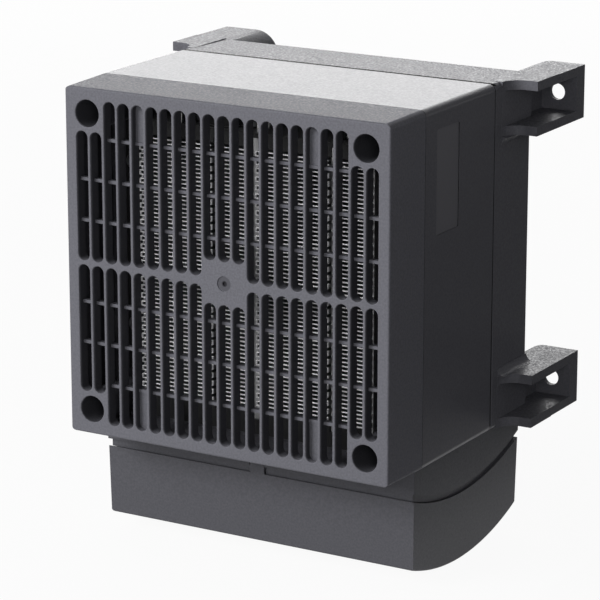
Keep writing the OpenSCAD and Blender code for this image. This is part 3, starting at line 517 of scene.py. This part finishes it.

# %% [markdown]
# ## Recessed field
# On the right side of the middle shell is a shallow bare field with a slightly paler satin ground. Its step
# is only 0.4 mm high and lies in its own shadow, which is painted onto it as a near black colour. Separate
# pieces for both would have to be fitted into the recess; the floor and the step each have their own range of
# X, which is enough to tell them apart.

# %% Recessed field
field_x_mm = side_mm - 0.4
floor_reach_mm = 0.2
floor_soft_mm = 0.05
field_z_mm = (19, 59)
field_grey = (0.130, 0.129, 0.143)
step_x_mm = (field_x_mm + 0.10, field_x_mm + 0.37)
step_soft_mm = 0.02
step_y_mm = (-103, -58)
step_z_mm = (10, 62)
painted_shadow_black = (0.003, 0.003, 0.003)

field = all_of(
    middle_plastic,
    between(middle_plastic, "X", field_x_mm - floor_reach_mm, field_x_mm + floor_reach_mm, floor_soft_mm),
    between(middle_plastic, "Z", *field_z_mm),
)
patch(middle_plastic, middle_shader, field, field_grey)
field_step_painted_shadow = all_of(
    middle_plastic,
    between(middle_plastic, "X", *step_x_mm, step_soft_mm),
    between(middle_plastic, "Y", *step_y_mm),
    between(middle_plastic, "Z", *step_z_mm),
)
# Painted shadow: the walls of the field's step are made near black.
patch(middle_plastic, middle_shader, field_step_painted_shadow, painted_shadow_black)
print("field at", round(field_x_mm, 2), "mm")

# %% [markdown]
# ## Seams
# Where two shells meet is a narrow shadow groove. At this size a groove is about one pixel wide, and a render
# blurs its shadow away. A wider groove would be wrong in shape, so the shadow is painted instead: the edges
# beside the groove are made nearly black.
# The front seam shows on the sides only, since on the top the grille's darker strip marks it already. The
# rear seam shows all round.

# %% Seams
front_depth_mm = 24.5
front_seam_mm = face_mm + front_depth_mm
front_edge_mm = front_seam_mm + 0.5
rear_top_edge_mm = -51.2
rear_side_edge_mm = -52.3
seam_soft_mm = 0.1
top_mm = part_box("middle_housing")[1].z / MM
top_band_mm = (top_mm - 0.9, top_mm - 0.8)

# Painted shadow: the edges beside each seam groove are made near black.
front_seam = all_of(
    middle_plastic,
    along(middle_plastic, "Y", front_edge_mm, front_edge_mm - seam_soft_mm),
    facing(middle_plastic, "X", both_ways=True),
)
patch(middle_plastic, middle_shader, front_seam, painted_shadow_black)
top_seam = all_of(
    rear_plastic,
    along(rear_plastic, "Y", rear_top_edge_mm, rear_top_edge_mm - seam_soft_mm),
    along(rear_plastic, "Z", *top_band_mm),
)
patch(rear_plastic, rear_shader, top_seam, painted_shadow_black)
side_seam = along(rear_plastic, "Y", rear_side_edge_mm, rear_side_edge_mm - seam_soft_mm)
patch(rear_plastic, rear_shader, side_seam, painted_shadow_black)
print("seams at", round(front_seam_mm, 1), "and", rear_side_edge_mm, "mm")

# %% [markdown]
# ## Metal finishes
# Behind the slots the element tubes are bare rolled aluminium, whose grain runs with the sheet. The tabs are
# tinned, screws and the shaft are zinc plated, the clamps are brass, and the windings are varnished copper.
# A metal's colour is in its reflection, so Metallic is 1, and one grain gently varies the colour, the
# roughness and the relief together, as scratches and rolling marks do.

# %% Metals
def metal_finish(name, colour, roughness, grain_mm, stretch=(1, 1, 1), depth_mm=0.004):
    """A bare or plated metal with a fine grain in its colour, roughness and relief."""
    material, shader = start_finish(name, Metallic=1.0)
    pattern = grain(material, grain_mm, detail=3, stretch=stretch)
    colours(material, shader, pattern, tint(colour, 0.85), tint(colour, 1.05))
    roughnesses(material, shader, pattern, roughness - 0.08, roughness + 0.08)
    relief(material, shader, pattern, depth_mm)
    return material


tube_aluminium = metal_finish("tube_aluminium", (0.45, 0.45, 0.46), 0.45, 0.6, stretch=(1, 1, 0.06))
tinned_tab = metal_finish("tinned_tab", (0.80, 0.80, 0.80), 0.30, 0.7)
zinc_plate = metal_finish("zinc_plate", (0.58, 0.59, 0.61), 0.34, 0.9)
contact_brass = metal_finish("contact_brass", (0.72, 0.55, 0.25), 0.30, 0.7)
wound_copper = metal_finish("wound_copper", (0.50, 0.22, 0.11), 0.40, 0.5, stretch=(1, 0.1, 1), depth_mm=0.05)
print("metals:", [m.name for m in (tube_aluminium, tinned_tab, zinc_plate, contact_brass, wound_copper)])

# %% [markdown]
# ## Fins
# The corrugated fin strips are thin rolled sheet. Their front edges are bright and slightly rolled over, and
# the sheet behind them lies in the shade between the legs, so each leg reads as a short bright dash with a
# dark gap below. The rolled edge could be modelled on every leg, at the cost of very many faces. Here it is a
# relief that falls away behind the front edge, and the shade behind it is painted as a near black colour with
# depth.

# %% Fin sheet
fin_front_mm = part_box("fin_strips")[0].y / MM
bright_mm = 0.8
shade_soft_mm = 0.2
fin_painted_shade = (0.02, 0.02, 0.02)
rolled_mm = 1.6

fin_sheet, fin_shader = start_finish("fin_sheet", Roughness=0.3, Specular_IOR_Level=1.0)
sheet_grain = grain(fin_sheet, 0.5, detail=3, stretch=(1, 0.08, 1))
colours(fin_sheet, fin_shader, sheet_grain, (0.96, 0.95, 0.98), (1.0, 0.98, 1.0))
shade_from_mm = fin_front_mm + bright_mm
fin_shade_zone = along(fin_sheet, "Y", shade_from_mm - shade_soft_mm, shade_from_mm + shade_soft_mm)
# Painted shade: the sheet behind the bright front edge is made near black.
patch(fin_sheet, fin_shader, fin_shade_zone, fin_painted_shade)
relief(fin_sheet, fin_shader, along(fin_sheet, "Y", fin_front_mm, shade_from_mm), rolled_mm)
print("fins start at", round(fin_front_mm, 2), "mm, bright over", bright_mm, "mm")

# %% [markdown]
# ## Inner plastics, ceramic and rubber
# The carrier of the elements and the fan are satin black plastic with faint flow marks, which come from a
# coarse noise in the roughness. The terminal block is ivory, the heating stones are grey sintered ceramic
# and the lead grommet is soft matt rubber. The carrier's upward faces get a painted light, a pale grey, so
# that the tops of the slots, which lie in shade, look no darker than the lit faces round them.

# %% Plastics inside
def moulded_finish(name, colour, roughness, grain_mm, flow_mm, depth_mm):
    """A plain moulded or sintered body: fine grain in the colour, coarse flow marks in the gloss."""
    material, shader = start_finish(name, Specular_IOR_Level=0.4)
    fine = grain(material, grain_mm, detail=3)
    colours(material, shader, fine, tint(colour, 0.9), tint(colour, 1.1))
    roughnesses(material, shader, grain(material, flow_mm, detail=2), roughness - 0.05, roughness + 0.05)
    relief(material, shader, fine, depth_mm)
    return material, shader


carrier_top_painted_light = (0.20, 0.20, 0.205)
carrier_plastic, carrier_shader = moulded_finish(
    "carrier_plastic", (0.016, 0.016, 0.017), 0.60, 0.5, 12, 0.010
)
# Painted light: faces that look up are made pale grey.
patch(carrier_plastic, carrier_shader, facing(carrier_plastic, "Z"), carrier_top_painted_light)
fan_plastic, _ = moulded_finish("fan_plastic", (0.030, 0.030, 0.032), 0.45, 0.5, 15, 0.008)
ivory_plastic, _ = moulded_finish("ivory_plastic", (0.78, 0.76, 0.69), 0.45, 0.8, 10, 0.008)
sintered_ceramic, _ = moulded_finish("sintered_ceramic", (0.60, 0.58, 0.54), 0.80, 0.25, 5, 0.020)
grommet_rubber, _ = moulded_finish("grommet_rubber", (0.028, 0.028, 0.028), 0.75, 0.3, 6, 0.012)
print("inner finishes:", [m.name for m in (carrier_plastic, fan_plastic, ivory_plastic, grommet_rubber)])

# %% [markdown]
# ## Dressing the solids
# A node's own mesh is never changed, but its material is free to choose. Each solid's finish is picked by
# its name, in the order in which the heater would come apart on a bench.

# %% Put a finish on every solid
finishes = {
    "front_grille": grille_plastic,
    "middle_housing": middle_plastic,
    "rear_housing": rear_plastic,
    "terminal_box": box_plastic,
    "terminal_cover": cover_plastic,
    "housing_screws": zinc_plate,
    "heater_carrier": carrier_plastic,
    "heater_screws": zinc_plate,
    "element_tubes": tube_aluminium,
    "ceramic_stones": sintered_ceramic,
    "fin_strips": fin_sheet,
    "fin_carriers": tube_aluminium,
    "contact_tabs": tinned_tab,
    "temperature_limiter": carrier_plastic,
    "limiter_screws": zinc_plate,
    "fan_frame": fan_plastic,
    "fan_stator": wound_copper,
    "fan_bearing": contact_brass,
    "fan_shaft": zinc_plate,
    "fan_impeller": fan_plastic,
    "shaft_clip": zinc_plate,
    "fan_screws": zinc_plate,
    "box_screws": zinc_plate,
    "terminal_block": ivory_plastic,
    "terminal_clamps": contact_brass,
    "terminal_screws": zinc_plate,
    "block_screws": zinc_plate,
    "cable_grommet": grommet_rubber,
    "strain_clamp": carrier_plastic,
    "strain_screws": zinc_plate,
}
for name, solid in frame["nodes"].items():
    solid.data.materials.clear()
    solid.data.materials.append(finishes[name])
print("dressed", len(finishes), "solids")

# %% [markdown]
# ## Rounded slot mouths
# No moulded edge is truly sharp: the mouth of every slot and screw well has a small radius, and it draws the
# fine pale outlines that the grille shows. The radius could be modelled in CAD at a great cost in faces, or
# bevelled all over, which tears where thin walls meet. So a copy of the grille is merged, its flat faces are
# joined, and only the sharp edges that lie in the plane of the face are bevelled. The gate mark stays crisp.

# %% Copy a solid as whole faces
weld = 0.002 * MM
flat_deg = 0.05


def whole_copy(node, name):
    """A copy of one solid with its loose triangles merged into whole flat faces."""
    bpy.ops.object.select_all(action="DESELECT")
    solid = frame["nodes"][node]
    solid.select_set(True)
    bpy.context.view_layer.objects.active = solid
    bpy.ops.object.duplicate(linked=False)
    bpy.ops.object.parent_clear(type="CLEAR")
    piece = bpy.context.object
    piece.name = name
    piece.data.name = name
    del piece["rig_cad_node"]
    bpy.ops.object.mode_set(mode="EDIT")
    bpy.ops.mesh.select_mode(type="EDGE")
    bpy.ops.mesh.select_all(action="SELECT")
    bpy.ops.mesh.remove_doubles(threshold=weld)
    bpy.ops.mesh.dissolve_limited(angle_limit=math.radians(flat_deg))
    bpy.ops.object.mode_set(mode="OBJECT")
    return piece


print("copying ready")

# %% Round chosen edges
sharp_deg = 60


def deselect_mesh(piece):
    """Deselects every point, edge and face of a piece in object mode."""
    for parts in (piece.data.polygons, piece.data.edges, piece.data.vertices):
        parts.foreach_set("select", [False] * len(parts))


def round_edges(piece, chosen, radius_mm, steps=3):
    """Rounds the sharp edges that are chosen by their two ends, in millimetres, and their faces' normals."""
    bpy.ops.object.mode_set(mode="EDIT")
    bpy.ops.mesh.select_all(action="DESELECT")
    bpy.ops.mesh.edges_select_sharp(sharpness=math.radians(sharp_deg))
    bpy.ops.object.mode_set(mode="OBJECT")
    corners = piece.data.vertices
    normals = {}
    for face in piece.data.polygons:
        for key in face.edge_keys:
            normals.setdefault(key, []).append(face.normal.copy())
    picked = [
        edge.index for edge in piece.data.edges
        if edge.select and chosen([corners[i].co / MM for i in edge.vertices], normals[edge.key])
    ]
    deselect_mesh(piece)
    for index in picked:
        piece.data.edges[index].select = True
    bpy.ops.object.mode_set(mode="EDIT")
    bpy.ops.mesh.bevel(
        offset=radius_mm * MM, segments=steps, affect="EDGES", clamp_overlap=False, loop_slide=False
    )
    bpy.ops.object.mode_set(mode="OBJECT")
    return len(picked)


print("rounding ready")

# %% Round the grille's mouths
gate_mark_mm = 4.0
touch_mm = 0.01


def on_the_face(ends, _):
    """True in the plane of the grille's face, outside the gate mark at its centre."""
    return all(abs(end.y - face_mm) < touch_mm and math.hypot(end.x, end.z) > gate_mark_mm for end in ends)


grille = whole_copy("front_grille", "grille_moulding")
count = round_edges(grille, on_the_face, radius_mm=0.35)
print("grille:", count, "edges rounded")

# %% [markdown]
# ## Soft corners of the grille shell
# The front shell narrows a little towards its face, so that it leaves the tool, and its outer corners and the
# rim of the face are rounded. A bevel here would run into the bevelled mouths and tear. Instead a drafted,
# rounded block is made once, and the shell keeps only what lies inside it. The block is a primitive cube with
# one end drawn in and all edges bevelled.

# %% A rounded block
def pick_points(piece, chosen):
    """Opens a piece in edit mode with the points selected whose place in millimetres is chosen."""
    deselect_mesh(piece)
    points = piece.data.vertices
    points.foreach_set("select", [chosen(*(point.co / MM)) for point in points])
    bpy.ops.object.mode_set(mode="EDIT")
    bpy.ops.mesh.select_mode(type="VERT")


def soft_box(low_mm, high_mm, round_mm, taper_mm=(0, 0)):
    """A box with all its edges rounded, drawn in at its front end by a taper in X and Z."""
    low, high = Vector(low_mm) * MM, Vector(high_mm) * MM
    bpy.ops.object.select_all(action="DESELECT")
    bpy.ops.mesh.primitive_cube_add(size=1, location=(low + high) / 2)
    box = bpy.context.object
    box.scale = high - low
    bpy.ops.object.transform_apply(location=True, rotation=True, scale=True)
    pick_points(box, lambda x, y, z: y < low_mm[1] + touch_mm)
    narrower = [1 - taper / end for taper, end in zip(taper_mm, (high_mm[0], high_mm[2]))]
    bpy.ops.transform.resize(value=(narrower[0], 1, narrower[1]), center_override=(0, 0, 0))
    bpy.ops.mesh.select_all(action="SELECT")
    bpy.ops.mesh.bevel(offset=round_mm * MM, segments=6, affect="EDGES")
    bpy.ops.object.mode_set(mode="OBJECT")
    return box


print("rounded blocks ready")

# %% [markdown]
# ## Cutting and shading
# A boolean with the exact solver cuts the thin walls cleanly, where the fast one can leave gaps. It leaves
# flat faces of many corners beside narrow bevels, and plain smooth shading would draw false shadows over
# them. Weighted normals let the large flat faces decide, so flats stay flat and only the bevels look round.

# %% Cut and shade
smooth_deg = 40


def cut(piece, tool, way):
    """Cuts the piece with a tool, or keeps what lies inside it, and clears the tool away."""
    bpy.ops.object.select_all(action="DESELECT")
    piece.select_set(True)
    bpy.context.view_layer.objects.active = piece
    step = piece.modifiers.new("cut", "BOOLEAN")
    step.object = tool
    step.operation = way
    step.solver = "EXACT"
    bpy.ops.object.modifier_apply(modifier=step.name)
    bpy.data.objects.remove(tool)


def smooth_flats(piece):
    """Forgets the normals that came with the copy, shades curves smooth and keeps flat faces flat."""
    bpy.ops.mesh.customdata_custom_splitnormals_clear()
    bpy.ops.object.shade_smooth()
    bpy.ops.object.shade_smooth_by_angle(angle=math.radians(smooth_deg), keep_sharp_edges=False)
    flats = piece.modifiers.new("flat_faces", "WEIGHTED_NORMAL")
    flats.weight = 100
    flats.keep_sharp = True
    bpy.ops.object.modifier_apply(modifier=flats.name)


print("cutting and shading ready")

# %% Soften the grille's corners
draft = 0.5 / 23.7
spare_mm = 0.02
clear_mm = 4
shell_round_mm = 2.5

back_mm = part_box("front_grille")[1].y / MM + clear_mm
front_mm = face_mm - clear_mm
widest = draft * (back_mm - front_seam_mm) + spare_mm
drawn_in = draft * (back_mm - front_mm)
form = soft_box(
    (-side_mm - widest, front_mm, -top_mm - widest),
    (side_mm + widest, back_mm, top_mm + widest),
    round_mm=shell_round_mm,
    taper_mm=(drawn_in, drawn_in),
)
cut(grille, form, "INTERSECT")
smooth_flats(grille)
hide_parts("front_grille")
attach(grille, "housing")
print("grille:", len(grille.data.polygons), "faces")

# %% [markdown]
# ## Rim of the rear shell
# The rear shell meets the middle shell at a shadow groove, and its rim beside the groove falls away a little.
# A bevel would need the whole rim as one clean loop, which the feet break. So a bisect draws a loop round the
# shell just behind the rim, and the rim's own points are then pulled in.

# %% Draw in the rim
groove_y_mm = -52.9
rim_fall_mm = 0.6
rim_length_mm = 1.2
rim_reach_mm = 0.1


def on_the_rim(x, y, z):
    """True on the outer edge of the shadow groove."""
    over_x = max(abs(x) - side_mm + shell_round_mm, 0)
    over_z = max(abs(z) - top_mm + shell_round_mm, 0)
    off_the_outline = abs(math.hypot(over_x, over_z) - shell_round_mm)
    return abs(y - groove_y_mm) < touch_mm and off_the_outline < rim_reach_mm


rear = whole_copy("rear_housing", "rear_moulding")
bpy.ops.object.mode_set(mode="EDIT")
bpy.ops.mesh.select_all(action="SELECT")
bpy.ops.mesh.bisect(plane_co=(0, (groove_y_mm + rim_length_mm) * MM, 0), plane_no=(0, 1, 0))
bpy.ops.object.mode_set(mode="OBJECT")
pick_points(rear, on_the_rim)
bpy.ops.transform.resize(
    value=(1 - rim_fall_mm / side_mm, 1, 1 - rim_fall_mm / top_mm), center_override=(0, 0, 0)
)
bpy.ops.object.mode_set(mode="OBJECT")
print("rear shell:", sum(point.select for point in rear.data.vertices), "rim points drawn in")

# %% [markdown]
# ## Cored feet
# The plates of the feet are thick where the screws go through, and thick plastic sinks as it cools, so such
# plates are cored from behind. Light then shows through the screw holes from the front. Each core is a small
# soft box round a hole of the mount, cut out of the plate; an inset and a push would lose the round corners.

# %% Core the feet
mounts = {mount["name"]: mount for mount in frame["record"]["mounts"]}
foot_dims = mounts["mounting_feet"]["dims"]
hole_x_mm = foot_dims["spacing_x_mm"] / 2
hole_z_mm = foot_dims["spacing_y_mm"] / 2
core_x_mm = (-7.5, 6.0)
core_y_mm = (-5.0, 1.0)
core_z_mm = (-7.0, 7.0)

for side in (-1, 1):
    for end in (-1, 1):
        ends_x = sorted(side * (hole_x_mm + x) for x in core_x_mm)
        ends_z = sorted(end * hole_z_mm + z for z in core_z_mm)
        core = soft_box(
            (ends_x[0], core_y_mm[0], ends_z[0]), (ends_x[1], core_y_mm[1], ends_z[1]), round_mm=0.8
        )
        cut(rear, core, "DIFFERENCE")
smooth_flats(rear)
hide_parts("rear_housing")
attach(rear, "housing")
print("rear shell: 4 feet cored,", len(rear.data.polygons), "faces")

# %% [markdown]
# ## Terminal cover
# The cover is a small tray whose outer edges are rounded by about a millimetre, which catches a soft line of
# light along its front and its corners. Inside it are posts and a cable saddle with many sharp edges of their
# own, so a bevel by angle alone would round those too. The edges are told apart by their place on the outside
# and by the way their faces look.

# %% Choose the cover's outer edges
cover_low, cover_high = (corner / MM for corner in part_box("terminal_cover"))
cover_middle = (cover_low + cover_high) / 2
rim_z_mm = cover_low.z + 27.0
lead_mm = Vector(mounts["lead_inlet"]["pos_m"]) / MM
outer_mm = 1.4
lead_room_mm = 9
upward = 0.3


def outside_the_tray(ends, normals):
    """True on the cover's outer edges below its rim, away from the lead's inlet."""
    middle = (ends[0] + ends[1]) / 2
    on_a_side = min(abs(end.x) for end in ends) > cover_high.x - outer_mm
    on_the_front = max(end.y for end in ends) < cover_low.y + outer_mm
    at_the_lead = math.hypot(middle.y - lead_mm.y, middle.z - lead_mm.z) < lead_room_mm and middle.x < 0
    looks_out = all(normal.dot(middle - cover_middle) > 0 for normal in normals)
    looks_up = sum(normal.z for normal in normals) > upward
    below_rim = max(end.z for end in ends) < rim_z_mm
    return (on_a_side or on_the_front) and looks_out and below_rim and not (at_the_lead or looks_up)


print("cover's rim at", round(rim_z_mm, 1), "mm")

# %% Round the cover's outer edges
cover = whole_copy("terminal_cover", "cover_moulding")
count = round_edges(cover, outside_the_tray, radius_mm=0.8)
smooth_flats(cover)
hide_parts("terminal_cover")
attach(cover, "housing")
print("cover:", count, "edges rounded,", len(cover.data.polygons), "faces")
